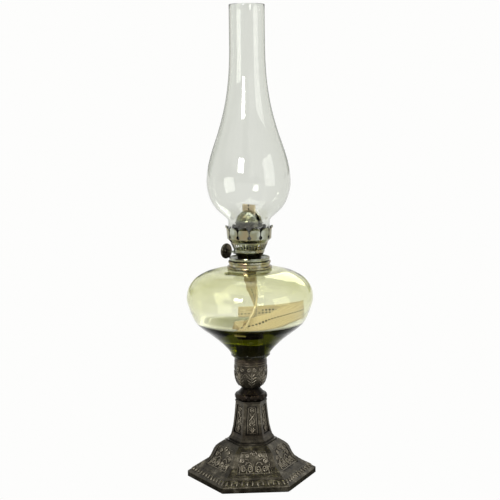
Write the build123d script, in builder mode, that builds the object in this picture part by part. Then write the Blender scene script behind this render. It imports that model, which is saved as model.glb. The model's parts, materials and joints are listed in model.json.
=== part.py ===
from build123d import *
import math
import os

# Oil lamp: hexagonal cast foot and pillar, knop and leaf cup, blown glass font,
# flat wick burner with a slotted basket and petal gallery, and a glass chimney.
# Millimetres, +Z up, origin at the middle of the foot's underside.
# The foot's flat sides face -Y and +Y, and its corners point along -X and +X.

os.makedirs("parts", exist_ok=True)

# Driving dimensions
SIDES = 6
FOOT_CORNER_R = 66.3
RIM_TOP = 7.0
FELT_T = 0.6
RIM_CORNER_R = 2.5
LEDGE_Z = 37.6
PILLAR_FOOT_Z = 43.0
PILLAR_TOP = 80.5
PILLAR_TOP_CORNER_R = 15.3
KNOP_TOP = 92.3
CUP_TOP = 123.8
KNOP_LOBES = 14
KNOP_LOBE_R = 16.6
ROD_R = 3.0
ROD_FIT = 0.05
FONT_BOTTOM = 118.0
FLANGE_R = 19.9
FLANGE_Z = 127.3
CONE_TOP_R = 54.9
CONE_TOP_Z = 161.0
BELLY_R = 63.6
BELLY_Z = 183.7
HEEL_Z = 156.5
SOCKET_R = 9.5
SOCKET_TOP = 147.0
SHOULDER_Z = 214.4
GLASS_T = 3.0
NECK_R = 18.9
NECK_HOLE_R = 17.3
NECK_TOP = 219.8
COLLAR_THREAD_R = 15.9
COLLAR_TOP = 222.8
THREAD_FIT = 0.06
SKIRT_R = 20.4
DISH_TOP = 226.5
BOWL_TOP = 233.0
BASKET_R = 15.4
BASKET_TOP = 241.9
BASKET_TOP_R = 18.8
BASKET_SLOTS = 36
SLOT_W = 1.8
GALLERY_R = 22.0
PETALS = 12
GAP_TURN = -3.4
PETAL_TOP = 257.5
HOLE_Z = 247.7
CHIMNEY_SEAT = 246.4
CHIMNEY_TOP = 474.8
CHIMNEY_R = 17.5
BULB_R = 41.8
BULB_Z = 301.0
CHIMNEY_T = 1.5
DOME_R = 14.2
DOME_SEAM_Z = 261.5
DOME_TOP = 272.7
DOME_SLOT = 5.0
WICK_W = 15.9
WICK_T = 2.0
WICK_TOP = 279.0
WICK_CUT = 224.0
TUBE_GAP = 0.35
TUBE_WALL = 0.5
SHAFT_AZIMUTH = 135.0
SHAFT_Z = 230.4
SHAFT_R = 1.0
SHAFT_OFFSET = 4.85
WHEEL_R = 3.4
WHEEL_TEETH = 14
WHEEL_W = 2.0
KNOB_OUT = 27.2
KNOB_R = 7.75

CORNER = 1 / math.cos(math.pi / SIDES)
TUBE_WIDTH = WICK_W + 2 * (TUBE_GAP + TUBE_WALL)
TUBE_DEPTH = WICK_T + 2 * (TUBE_GAP + TUBE_WALL)
wick_frame = Plane.XY.rotated((0, 0, SHAFT_AZIMUTH))
shaft_frame = wick_frame.offset(SHAFT_Z)


def finish(part, label):
    """Name a finished piece and write its file."""
    part.label = label
    export_step(part, f"parts/{label}.step")


def hexagonal(outline, reach):
    """Solid whose level sections are hexagons, from half of its side view.

    outline is a face in the XZ plane, as wide as the hexagon is between its flats.
    """
    with BuildPart(mode=Mode.PRIVATE) as solid:
        for number, turn in enumerate((30, 90, 150)):
            with BuildSketch(Plane.XZ.rotated((0, 0, turn))):
                add(outline)
            extrude(amount=reach, both=True, mode=Mode.INTERSECT if number else Mode.ADD)
    return solid.part


def side_view(points, base_z, top_z):
    """Symmetric face between two levels; points are (corner radius, height)."""
    with BuildSketch(mode=Mode.PRIVATE) as half:
        with BuildLine():
            runs = [(r / CORNER, z) for r, z in points]
            Polyline((0, base_z), (runs[0][0], base_z), *runs, (0, top_z), close=True)
        make_face()
        mirror(about=Plane.YZ)
    return half.sketch


# Foot and pillar: one hollow hexagonal casting, from the rim up through the concave
# skirt, the rounded brow, the stepped ledge and the tapered pillar.
FOOT_LINE = [
    (FOOT_CORNER_R, 5.2), (65.5, 6.3), (64.0, RIM_TOP), (57.4, 10.6), (56.2, 10.6),
    (54.8, 12.4), (48.8, 16.0), (44.2, 19.3), (42.0, 22.4), (40.4, 25.6),
    (39.0, 28.8), (36.8, 32.0), (33.6, 34.4), (30.2, 36.4), (28.2, LEDGE_Z),
    (26.4, LEDGE_Z), (26.4, 38.8), (23.4, 38.8), (23.4, 40.4), (21.4, PILLAR_FOOT_Z),
]
PILLAR_LINE = [
    (20.3, 46.0), (18.6, 53.0), (17.4, 61.7), (16.4, 71.4), (15.8, 78.0),
    (16.6, 78.6), (16.6, 80.0), (PILLAR_TOP_CORNER_R, PILLAR_TOP),
]
PANEL_DEPTH = 1.4
BORE_R = ROD_R + 0.5
CROWN_Z = 74.0
CASTING_LINE = FOOT_LINE + PILLAR_LINE
SUNK_LINE = [(r - PANEL_DEPTH * CORNER, z) for r, z in CASTING_LINE]
outer_casting = hexagonal(side_view(CASTING_LINE, FELT_T, PILLAR_TOP), FOOT_CORNER_R)
sunk_casting = hexagonal(side_view(SUNK_LINE, FELT_T, PILLAR_TOP), FOOT_CORNER_R)
HOLLOW_LINE = [
    (FOOT_CORNER_R - 4.5, 4.0), (51.5, 7.6), (41.5, 17.0), (36.5, 25.0),
    (31.0, 31.5), (19.5, 35.5), (16.0, 44.0), (13.0, 60.0), (11.2, CROWN_Z),
]
hollow = hexagonal(side_view(HOLLOW_LINE, FELT_T, CROWN_Z), FOOT_CORNER_R)

# Sunk panels of one side: a trapezoid on the skirt and a narrow one up the pillar
with BuildPart() as panels:
    with BuildSketch(Plane.XZ.offset(10)):
        with BuildLine():
            Polyline((-18.4, 14.2), (18.4, 14.2), (12.8, 33.6), (-12.8, 33.6), close=True)
        make_face()
        fillet(vertices(), 1.5)
        with BuildLine():
            Polyline((-7.0, 46.5), (7.0, 46.5), (4.9, 75.5), (-4.9, 75.5), close=True)
        make_face()
    extrude(amount=FOOT_CORNER_R)
    add(sunk_casting, mode=Mode.SUBTRACT)

with BuildPart() as pedestal:
    add(outer_casting)
    fillet(edges().filter_by(Axis.Z), RIM_CORNER_R)
    with PolarLocations(0, SIDES):
        add(panels.part, mode=Mode.SUBTRACT)
    add(hollow, mode=Mode.SUBTRACT)
    Cylinder(BORE_R, PILLAR_TOP, align=(Align.CENTER, Align.CENTER, Align.MIN),
             mode=Mode.SUBTRACT)
finish(pedestal.part, "pedestal")

# Felt sheet under the foot
with BuildPart() as foot_felt:
    with BuildSketch():
        RegularPolygon(FOOT_CORNER_R - 1.0, SIDES)
        fillet(vertices(), RIM_CORNER_R)
    extrude(amount=FELT_T)
finish(foot_felt.part, "foot_felt")

# Knop: a lobed bead with a short cone above it
with BuildPart() as knop:
    with BuildSketch(Plane.XZ):
        with BuildLine():
            Polyline((14.0, PILLAR_TOP), (0, PILLAR_TOP), (0, KNOP_TOP), (9.0, KNOP_TOP))
            Polyline((9.0, KNOP_TOP), (13.6, 87.2))
            ThreePointArc((13.6, 87.2), (KNOP_LOBE_R, 84.0), (14.0, PILLAR_TOP))
        make_face()
    revolve(axis=Axis.Z)
    with PolarLocations(KNOP_LOBE_R + 0.9, KNOP_LOBES):
        with Locations((0, 0, 84.0)):
            Cylinder(1.9, 5.6, mode=Mode.SUBTRACT)
    Cylinder(ROD_R + ROD_FIT, 2 * KNOP_TOP, mode=Mode.SUBTRACT)
finish(knop.part, "knop")

# Cup: thin casting that carries the font
CUP_FLOOR = 96.0
with BuildPart() as font_cup:
    with BuildSketch(Plane.XZ):
        with BuildLine():
            Polyline((0, KNOP_TOP), (8.7, KNOP_TOP))
            Spline((8.7, KNOP_TOP), (13.8, 97.5), (16.2, 108.0), (16.7, CUP_TOP))
            Polyline((16.7, CUP_TOP), (0, CUP_TOP), (0, KNOP_TOP))
        make_face()
    revolve(axis=Axis.Z)
    with BuildSketch(Plane.XZ):
        with BuildLine():
            Polyline((0, CUP_FLOOR), (10.2, CUP_FLOOR), (13.4, 101.0), (14.5, 110.0),
                     (14.6, CUP_TOP), (0, CUP_TOP), (0, CUP_FLOOR))
        make_face()
    revolve(axis=Axis.Z, mode=Mode.SUBTRACT)
    Cylinder(ROD_R + ROD_FIT, 2 * CUP_TOP, mode=Mode.SUBTRACT)
finish(font_cup.part, "font_cup")

# Tie rod, with a washer and nut under the foot's crown and a nut in the cup
ROD_BOTTOM = 62.0
ROD_TOP = 103.0
NUT_T = 5.0
NUT_R = 6.4
WASHER_T = 1.5
with BuildPart() as tie_rod:
    with Locations((0, 0, ROD_BOTTOM)):
        Cylinder(ROD_R, ROD_TOP - ROD_BOTTOM, align=(Align.CENTER, Align.CENTER, Align.MIN))
    chamfer(edges().filter_by(GeomType.CIRCLE), 0.5)
finish(tie_rod.part, "tie_rod")

for label, bottom in (("rod_nut", CROWN_Z - WASHER_T - NUT_T), ("cup_nut", CUP_FLOOR)):
    with BuildPart() as nut:
        with BuildSketch(Plane.XY.offset(bottom)):
            RegularPolygon(NUT_R, SIDES)
            Circle(ROD_R, mode=Mode.SUBTRACT)
        extrude(amount=NUT_T)
        chamfer(nut.faces().sort_by(Axis.Z)[-1].outer_wire().edges(), 0.4)
    finish(nut.part, label)

with BuildPart() as rod_washer:
    with BuildSketch(Plane.XY.offset(CROWN_Z - WASHER_T)):
        Circle(8.6)
        Circle(ROD_R + 0.3, mode=Mode.SUBTRACT)
    extrude(amount=WASHER_T)
finish(rod_washer.part, "rod_washer")

# Plaster: beds the font in the cup and fills the socket in the font's heel
with BuildPart() as cup_plaster:
    with BuildSketch(Plane.XZ):
        with BuildLine():
            Polyline((0, ROD_TOP), (ROD_R, ROD_TOP), (ROD_R, CUP_FLOOR + NUT_T),
                     (NUT_R, CUP_FLOOR + NUT_T), (NUT_R, CUP_FLOOR), (10.2, CUP_FLOOR),
                     (13.4, 101.0), (14.5, 110.0), (14.6, CUP_TOP), (14.2, CUP_TOP),
                     (14.2, FONT_BOTTOM), (SOCKET_R, FONT_BOTTOM), (SOCKET_R, SOCKET_TOP),
                     (0, SOCKET_TOP), (0, ROD_TOP))
        make_face()
    revolve(axis=Axis.Z)
finish(cup_plaster.part, "cup_plaster")

# Font: a solid cone-shaped heel with a flange, a peg and a socket, and on it a full
# blown belly, a flat shoulder and a neck
with BuildPart() as font:
    with BuildSketch(Plane.XZ):
        with BuildLine():
            Polyline((0, SOCKET_TOP), (SOCKET_R, SOCKET_TOP), (SOCKET_R, FONT_BOTTOM),
                     (14.2, FONT_BOTTOM), (14.2, CUP_TOP), (17.0, CUP_TOP), (18.9, 125.7))
            ThreePointArc((18.9, 125.7), (FLANGE_R - 0.3, 126.5), (FLANGE_R, FLANGE_Z))
            Line((FLANGE_R, FLANGE_Z), (19.6, 128.2))
            Spline((19.6, 128.2), (28.3, 138.3), (38.4, 147.1), (49.3, 155.5),
                   (CONE_TOP_R, CONE_TOP_Z))
            Spline((CONE_TOP_R, CONE_TOP_Z), (60.0, 171.8), (BELLY_R, BELLY_Z), (61.9, 195.0),
                   (53.8, 205.4), (38.0, 212.5), (NECK_R, SHOULDER_Z))
            Polyline((NECK_R, SHOULDER_Z), (NECK_R, NECK_TOP), (NECK_HOLE_R, NECK_TOP),
                     (NECK_HOLE_R, SHOULDER_Z - GLASS_T))
            Spline((NECK_HOLE_R, SHOULDER_Z - GLASS_T), (38.0, 209.2), (51.8, 202.4),
                   (59.2, 192.8), (BELLY_R - GLASS_T, BELLY_Z), (56.9, 170.8), (54.6, 163.5))
            Spline((54.6, 163.5), (50.4, 159.4), (32.0, 157.2), (0, HEEL_Z))
            Line((0, HEEL_Z), (0, SOCKET_TOP))
        make_face()
    revolve(axis=Axis.Z)
finish(font.part, "font")

# Collar: brass ring cemented on the font's neck, with the screw tube inside
COLLAR_TUBE_T = 0.8
COLLAR_FOOT = SHOULDER_Z + 0.2
with BuildPart() as collar:
    with BuildSketch(Plane.XZ):
        with BuildLine():
            Polyline((COLLAR_THREAD_R, 212.6), (COLLAR_THREAD_R, COLLAR_TOP), (20.6, COLLAR_TOP))
            ThreePointArc((20.6, COLLAR_TOP), (21.4, 221.6), (20.6, 220.4))
            Polyline((20.6, 220.4), (20.6, 217.6), (21.8, 217.6))
            ThreePointArc((21.8, 217.6), (22.6, 216.2), (22.0, COLLAR_FOOT))
            Polyline((22.0, COLLAR_FOOT), (19.6, COLLAR_FOOT), (19.6, COLLAR_TOP - 1.2),
                     (COLLAR_THREAD_R + COLLAR_TUBE_T, COLLAR_TOP - 1.2),
                     (COLLAR_THREAD_R + COLLAR_TUBE_T, 212.6), (COLLAR_THREAD_R, 212.6))
        make_face()
    revolve(axis=Axis.Z)
finish(collar.part, "collar")

with BuildPart() as collar_plaster:
    with BuildSketch(Plane.XZ):
        with BuildLine():
            Polyline((19.6, COLLAR_FOOT), (19.6, COLLAR_TOP - 1.2),
                     (16.7, COLLAR_TOP - 1.2), (16.7, SHOULDER_Z), (NECK_HOLE_R, SHOULDER_Z),
                     (NECK_HOLE_R, NECK_TOP), (NECK_R, NECK_TOP), (NECK_R, COLLAR_FOOT),
                     close=True)
        make_face()
    revolve(axis=Axis.Z)
finish(collar_plaster.part, "collar_plaster")

# Burner skirt: dished flange over the collar with the screw tube below it
THREAD_R = COLLAR_THREAD_R - THREAD_FIT
SKIRT_FOOT = COLLAR_TOP + 0.3
THREAD_BOTTOM = 213.6
with BuildPart() as burner_skirt:
    with BuildSketch(Plane.XZ):
        with BuildLine():
            Polyline((THREAD_R, THREAD_BOTTOM), (THREAD_R, SKIRT_FOOT), (19.8, SKIRT_FOOT))
            ThreePointArc((19.8, SKIRT_FOOT), (SKIRT_R, 224.8), (20.2, DISH_TOP))
            Line((20.2, DISH_TOP), (19.4, DISH_TOP))
            ThreePointArc((19.4, DISH_TOP), (16.0, 224.7), (11.95, 224.9))
            Polyline((11.95, 224.9), (11.95, SKIRT_FOOT), (THREAD_R - 1.0, SKIRT_FOOT - 0.4),
                     (THREAD_R - 1.0, THREAD_BOTTOM), (THREAD_R, THREAD_BOTTOM))
        make_face()
    revolve(axis=Axis.Z)
finish(burner_skirt.part, "burner_skirt")

# Burner bowl: thin cup between the skirt and the basket, with a notched upper edge
SHELL = 0.7
BOWL_FOOT = 225.3
NOTCH_R = 0.6
with BuildPart() as burner_bowl:
    with BuildSketch(Plane.XZ):
        with BuildLine():
            Line((0, BOWL_FOOT), (11.6, BOWL_FOOT))
            Spline((11.6, BOWL_FOOT), (12.6, 227.4), (14.4, 230.2), (15.4, BOWL_TOP))
            Line((15.4, BOWL_TOP), (15.4 - SHELL, BOWL_TOP))
            Spline((15.4 - SHELL, BOWL_TOP), (13.7, 230.4), (12.0, 227.8), (11.0, 226.1))
            Polyline((11.0, 226.1), (0, 226.1), (0, BOWL_FOOT))
        make_face()
    revolve(axis=Axis.Z)
    with BuildSketch(wick_frame.offset(BOWL_FOOT)):
        Rectangle(TUBE_WIDTH, TUBE_DEPTH)
    extrude(amount=1.0, mode=Mode.SUBTRACT)
    with Locations(shaft_frame):
        with Locations((14.0, SHAFT_OFFSET, 0)):
            Cylinder(2.0, 10.0, rotation=(0, 90, 0), mode=Mode.SUBTRACT)
    with Locations((0, 0, BOWL_TOP)):
        with PolarLocations(BASKET_R, BASKET_SLOTS):
            Cylinder(NOTCH_R, 3.0, rotation=(0, 90, 0), mode=Mode.SUBTRACT)
finish(burner_bowl.part, "burner_bowl")

# Air basket: flared slotted wall above the bowl
with BuildPart() as air_basket:
    with BuildSketch(Plane.XZ):
        with BuildLine():
            Polyline((BASKET_R, BOWL_TOP), (BASKET_R, BOWL_TOP + 0.8),
                     (BASKET_TOP_R, BASKET_TOP - 0.6), (BASKET_TOP_R, BASKET_TOP),
                     (BASKET_TOP_R - SHELL, BASKET_TOP), (BASKET_TOP_R - SHELL, BASKET_TOP - 0.5),
                     (BASKET_R - SHELL, BOWL_TOP + 0.9), (BASKET_R - SHELL, BOWL_TOP),
                     close=True)
        make_face()
    revolve(axis=Axis.Z)
    SLOT_FOOT = BOWL_TOP + 1.6
    SLOT_HEIGHT = BASKET_TOP - 1.6 - SLOT_FOOT
    with Locations((0, 0, SLOT_FOOT + SLOT_HEIGHT / 2)):
        with PolarLocations(BASKET_R + 1.0, BASKET_SLOTS):
            Box(6.0, SLOT_W, SLOT_HEIGHT, mode=Mode.SUBTRACT)
finish(air_basket.part, "air_basket")

# Diffuser: perforated plate inside the burner, between the wick tube and the basket
with BuildPart() as air_diffuser:
    with BuildSketch(Plane.XY.offset(BASKET_TOP - 0.9)):
        Circle(BASKET_TOP_R - SHELL - 0.4)
        with PolarLocations(13.6, 24):
            Circle(0.8, mode=Mode.SUBTRACT)
        with Locations(Location((0, 0), SHAFT_AZIMUTH)):
            Rectangle(TUBE_WIDTH, TUBE_DEPTH, mode=Mode.SUBTRACT)
            with Locations((0, -5.6)):
                Circle(1.6, mode=Mode.SUBTRACT)
    extrude(amount=0.5)
finish(air_diffuser.part, "air_diffuser")

# Gallery: a ledge that seats the chimney and twelve sprung petals that grip it
PETAL_T = 0.6
GAP_REACH = 6.5
GAP_FOOT = 250.8
PETAL_IN = GALLERY_R - PETAL_T
with BuildPart() as gallery:
    with BuildSketch(Plane.XZ):
        with BuildLine():
            Polyline((15.0, BASKET_TOP), (BASKET_TOP_R, BASKET_TOP),
                     (GALLERY_R + 0.2, CHIMNEY_SEAT - 0.9), (GALLERY_R + 0.6, 252.0),
                     (GALLERY_R + 1.0, 255.2), (GALLERY_R + 2.6, PETAL_TOP),
                     (GALLERY_R + 2.1, PETAL_TOP + 0.4), (GALLERY_R + 0.4, 255.7),
                     (GALLERY_R, 252.0), (PETAL_IN + 0.2, CHIMNEY_SEAT),
                     (GALLERY_R - 2.6, CHIMNEY_SEAT - 0.4), (17.6, BASKET_TOP + 0.7),
                     (15.0, BASKET_TOP + 0.7), close=True)
        make_face()
    revolve(axis=Axis.Z)
    for petal in range(PETALS):
        gap = Plane.XZ.rotated((0, 0, petal * 360 / PETALS + GAP_TURN))
        with BuildSketch(gap):
            with Locations((0, HOLE_Z)):
                Circle(1.9)
            with BuildLine():
                Line((-0.5, HOLE_Z), (0.5, HOLE_Z))
                Line((0.5, HOLE_Z), (0.5, GAP_FOOT))
                ThreePointArc((0.5, GAP_FOOT), (2.1, 255.6), (GAP_REACH, PETAL_TOP))
                Line((GAP_REACH, PETAL_TOP), (GAP_REACH, PETAL_TOP + 1.5))
                Line((GAP_REACH, PETAL_TOP + 1.5), (-GAP_REACH, PETAL_TOP + 1.5))
                Line((-GAP_REACH, PETAL_TOP + 1.5), (-GAP_REACH, PETAL_TOP))
                ThreePointArc((-GAP_REACH, PETAL_TOP), (-2.1, 255.6), (-0.5, GAP_FOOT))
                Line((-0.5, GAP_FOOT), (-0.5, HOLE_Z))
            make_face()
        extrude(amount=GALLERY_R + 4.0, mode=Mode.SUBTRACT)
finish(gallery.part, "gallery")

# Flame dome: barrel, seam and slotted cap over the wick
DOME_T = 0.6
DOME_FOOT = BASKET_TOP + 0.7
with BuildPart() as flame_dome:
    with BuildSketch(Plane.XZ):
        with BuildLine():
            Polyline((16.6, DOME_FOOT), (15.2, DOME_FOOT + 1.2), (13.6, 250.0), (13.4, 260.4),
                     (DOME_R, 260.8), (DOME_R, 262.2), (13.5, 262.5))
            ThreePointArc((13.5, 262.5), (9.6, 269.7), (0, DOME_TOP))
            Line((0, DOME_TOP), (0, DOME_TOP - DOME_T))
            ThreePointArc((0, DOME_TOP - DOME_T), (9.2, 269.2), (12.9, 262.0))
            Polyline((12.9, 262.0), (12.8, 250.0), (14.4, DOME_FOOT + 1.0), (15.4, DOME_FOOT),
                     (16.6, DOME_FOOT))
        make_face()
    revolve(axis=Axis.Z)
    with BuildSketch(wick_frame.offset(DOME_SEAM_Z + 1.6)):
        SlotOverall(2 * DOME_R - 1.0, DOME_SLOT)
    extrude(amount=DOME_TOP, mode=Mode.SUBTRACT)
finish(flame_dome.part, "flame_dome")

# Wick tube: flat tube from below the burner up into the dome, open to the spur wheels
TUBE_BOTTOM = 216.0
TUBE_TOP = 269.5
with BuildPart() as wick_tube:
    with BuildSketch(wick_frame.offset(TUBE_BOTTOM)):
        Rectangle(TUBE_WIDTH, TUBE_DEPTH)
        Rectangle(WICK_W + 2 * TUBE_GAP, WICK_T + 2 * TUBE_GAP, mode=Mode.SUBTRACT)
    extrude(amount=TUBE_TOP - TUBE_BOTTOM)
    with Locations(shaft_frame):
        with Locations((0, 3.0, 0)):
            Box(13.6, 4.0, 6.2, mode=Mode.SUBTRACT)
finish(wick_tube.part, "wick_tube")

# Vent tube: small round tube beside the wick tube that lets air into the font
with BuildPart() as vent_tube:
    with BuildSketch(wick_frame.offset(BOWL_FOOT + 0.8)):
        with Locations((0, -5.6)):
            Circle(1.4)
            Circle(1.0, mode=Mode.SUBTRACT)
    extrude(amount=250.0 - BOWL_FOOT)
finish(vent_tube.part, "vent_tube")

# Shaft housing: bush in the bowl's wall that the wick shaft turns in
with BuildPart() as shaft_housing:
    with Locations(shaft_frame):
        with Locations((13.3, SHAFT_OFFSET, 0)):
            Cylinder(1.95, 5.6, rotation=(0, 90, 0))
            Cylinder(SHAFT_R + 0.06, 5.6, rotation=(0, 90, 0), mode=Mode.SUBTRACT)
finish(shaft_housing.part, "shaft_housing")

# Wick shaft, its two spur wheels and the embossed knob
with BuildPart() as wick_shaft:
    with Locations(shaft_frame):
        with Locations(((KNOB_OUT - 7.5) / 2, SHAFT_OFFSET, 0)):
            Cylinder(SHAFT_R, KNOB_OUT + 7.5, rotation=(0, 90, 0))
finish(wick_shaft.part, "wick_shaft")

with BuildPart() as spur_wheels:
    for place in (-4.4, 4.4):
        wheel_face = Plane(
            shaft_frame.from_local_coords((place - WHEEL_W / 2, SHAFT_OFFSET, 0)),
            x_dir=(0, 0, 1), z_dir=wick_frame.x_dir,
        )
        with BuildSketch(wheel_face):
            Circle(WHEEL_R - 0.5)
            with PolarLocations(WHEEL_R - 0.5, WHEEL_TEETH):
                RegularPolygon(0.62, 3)
            Circle(SHAFT_R, mode=Mode.SUBTRACT)
        extrude(amount=WHEEL_W)
finish(spur_wheels.part, "spur_wheels")

with BuildPart() as knob:
    knob_face = Plane(
        shaft_frame.from_local_coords((KNOB_OUT - 3.2, SHAFT_OFFSET, 0)),
        x_dir=(0, 0, 1), z_dir=wick_frame.x_dir,
    )
    with BuildSketch(knob_face):
        Circle(2.2)
    extrude(amount=2.4)
    with BuildSketch(knob_face.offset(2.2)):
        Circle(KNOB_R)
    extrude(amount=1.8)
    fillet(edges().filter_by(GeomType.CIRCLE).sort_by(SortBy.RADIUS)[-2:], 0.7)
    with BuildSketch(knob_face.offset(4.0 - 0.4)):
        Circle(KNOB_R - 1.6)
        Circle(KNOB_R - 4.0, mode=Mode.SUBTRACT)
    extrude(amount=0.5, mode=Mode.SUBTRACT)
    with BuildSketch(knob_face):
        Circle(SHAFT_R)
    extrude(amount=3.2, mode=Mode.SUBTRACT)
finish(knob.part, "knob")

# Wick: the straight part that the wheels drive, and the tail that hangs in the font
with BuildPart() as wick:
    with BuildSketch(wick_frame.offset(WICK_CUT)):
        Rectangle(WICK_W, WICK_T)
    extrude(amount=WICK_TOP - WICK_CUT)
finish(wick.part, "wick")

TAIL_WEDGE_Z = 203.0
FOLD = Vector(-12.0, -36.0, 168.0)
RIGHT_END = Vector(50.5, -6.0, 173.5)
LEFT_END = Vector(-11.0, 21.0, 168.0)
TAIL_OVERLAP = 1.5


def strip(start, end, across):
    """Flat strip of wick between two points, its width along across."""
    along = (end - start).normalized()
    across = (across - along * across.dot(along)).normalized()
    section = Plane(start - along * TAIL_OVERLAP, x_dir=across, z_dir=along)
    with BuildPart(mode=Mode.PRIVATE) as run:
        with BuildSketch(section):
            Rectangle(WICK_W, WICK_T)
        extrude(amount=(end - start).length + 2 * TAIL_OVERLAP)
    return run.part


with BuildPart() as wick_tail:
    with BuildSketch(wick_frame.offset(WICK_CUT)):
        Rectangle(WICK_W, WICK_T)
    extrude(amount=TAIL_WEDGE_Z - WICK_CUT)
    hang_foot = Vector(0, 0, TAIL_WEDGE_Z)
    add(strip(hang_foot, FOLD, Vector(-0.7, 0.7, 0)))
    add(strip(FOLD, RIGHT_END, Vector(0, 0, 1)))
    add(strip(RIGHT_END, LEFT_END, Vector(0, 0, 1)))
finish(wick_tail.part, "wick_tail")

# Chimney: thin blown glass, a fitter tube, a bulb and a long neck
FITTER_R = 20.9
FITTER_TOP = 262.0
NECK_Z = 445.0
BULB_LINE = [
    (22.1, 265.4), (28.0, 270.6), (38.5, 285.4), (BULB_R, BULB_Z),
    (38.0, 326.0), (29.7, 351.0), (22.0, 381.0), (18.3, 411.0),
]


def chimney_blank(skin):
    """Solid bounded by the chimney's outside, or by its inside at a depth of skin."""
    with BuildPart(mode=Mode.PRIVATE) as blank:
        with BuildSketch(Plane.XZ):
            with BuildLine():
                Polyline((0, CHIMNEY_TOP), (0, CHIMNEY_SEAT + 0.2),
                         (FITTER_R - skin, CHIMNEY_SEAT + 0.2), (FITTER_R - skin, FITTER_TOP))
                Spline((FITTER_R - skin, FITTER_TOP), *[(r - skin, z) for r, z in BULB_LINE],
                       (CHIMNEY_R - skin, NECK_Z))
                Polyline((CHIMNEY_R - skin, NECK_Z), (CHIMNEY_R - skin, CHIMNEY_TOP),
                         (0, CHIMNEY_TOP))
            make_face()
        revolve(axis=Axis.Z)
    return blank.part


with BuildPart() as chimney:
    add(chimney_blank(0))
    add(chimney_blank(CHIMNEY_T), mode=Mode.SUBTRACT)
finish(chimney.part, "chimney")
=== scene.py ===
import json
import math

import bmesh
import bpy
from mathutils import Matrix, Vector


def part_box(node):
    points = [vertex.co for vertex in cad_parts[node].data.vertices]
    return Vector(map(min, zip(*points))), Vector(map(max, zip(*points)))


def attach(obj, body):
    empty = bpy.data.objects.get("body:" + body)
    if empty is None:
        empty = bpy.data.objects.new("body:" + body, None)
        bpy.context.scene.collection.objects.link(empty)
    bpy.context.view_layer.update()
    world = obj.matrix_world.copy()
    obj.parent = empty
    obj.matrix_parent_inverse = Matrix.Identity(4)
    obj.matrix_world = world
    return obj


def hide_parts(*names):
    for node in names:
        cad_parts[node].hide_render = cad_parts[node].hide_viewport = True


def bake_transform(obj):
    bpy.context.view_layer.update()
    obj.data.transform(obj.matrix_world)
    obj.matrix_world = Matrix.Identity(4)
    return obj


# Oil lamp: cast pedestal with chased relief, olive glass font, flat wick burner and
# clear glass chimney. Lengths in this script are millimetres, and MM makes them metres.

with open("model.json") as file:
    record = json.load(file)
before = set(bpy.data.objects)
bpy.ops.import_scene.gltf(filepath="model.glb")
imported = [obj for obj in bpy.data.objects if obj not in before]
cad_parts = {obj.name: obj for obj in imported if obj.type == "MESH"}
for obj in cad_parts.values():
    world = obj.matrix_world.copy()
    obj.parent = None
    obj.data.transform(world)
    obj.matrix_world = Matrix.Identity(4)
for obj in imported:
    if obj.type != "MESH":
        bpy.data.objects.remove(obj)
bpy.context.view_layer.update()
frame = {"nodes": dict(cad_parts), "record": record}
MM = 0.001
PER_METRE = 1000.0
SIDES = 6
CASTING_TOP = 125
CLEAR_OF_WALLS = 0.09
SHAFT_SIDE = math.radians(135)
SHAFT_ASIDE = 4.85
SHAFT_RISE = 230.4


# ---------------------------------------------------------------- camera and studio

VIEW_TURN = math.radians(-3.4)
VIEW_PITCH = math.radians(8.24)
VIEW_ROLL = math.radians(0.65)
EYE_DISTANCE = 1.180
EYE_HEIGHT = 0.404
LENS = 85.7
EYE_YAW = math.radians(0.03)


def make_camera():
    """Long lens, a little above the font, seeing the foot from above."""
    data = bpy.data.cameras.new("camera")
    data.lens = LENS
    data.sensor_width = 36
    data.clip_start = 0.05
    data.clip_end = 60
    camera = bpy.data.objects.new("camera", data)
    bpy.context.collection.objects.link(camera)
    place = Vector((math.sin(VIEW_TURN), -math.cos(VIEW_TURN), 0)) * EYE_DISTANCE
    place.z = EYE_HEIGHT
    turn = Matrix.Rotation(VIEW_TURN - EYE_YAW, 4, "Z")
    lean = Matrix.Rotation(math.pi / 2 - VIEW_PITCH, 4, "X")
    roll = Matrix.Rotation(-VIEW_ROLL, 4, "Z")
    camera.matrix_world = Matrix.Translation(place) @ turn @ lean @ roll
    bpy.context.scene.camera = camera


def linear(colour):
    """An sRGB hex colour as linear red, green, blue and alpha."""
    parts = [int(colour[i : i + 2], 16) / 255 for i in (1, 3, 5)]
    return [c / 12.92 if c <= 0.04045 else ((c + 0.055) / 1.055) ** 2.4 for c in parts] + [1]


def add_node(tree, kind, settings=None, links=None):
    """Add one node; settings name its sockets or properties, and links feed its sockets."""
    made = tree.nodes.new(kind)
    for name, value in (settings or {}).items():
        if hasattr(made, str(name)):
            setattr(made, name, value)
        else:
            made.inputs[name].default_value = value
    for name, output in (links or {}).items():
        tree.links.new(output, made.inputs[name])
    return made


def make_light(name, place, size, power, mirrored):
    """Square soft box at a place, turned to the lamp's middle; mirrored shows it in gloss."""
    data = bpy.data.lights.new(name, "AREA")
    data.size = size
    data.energy = power
    lamp = bpy.data.objects.new(name, data)
    bpy.context.collection.objects.link(lamp)
    lamp.location = place
    aim = Vector((0, 0, 0.22)) - Vector(place)
    lamp.rotation_euler = aim.to_track_quat("-Z", "Y").to_euler()
    lamp.visible_glossy = mirrored


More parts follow.
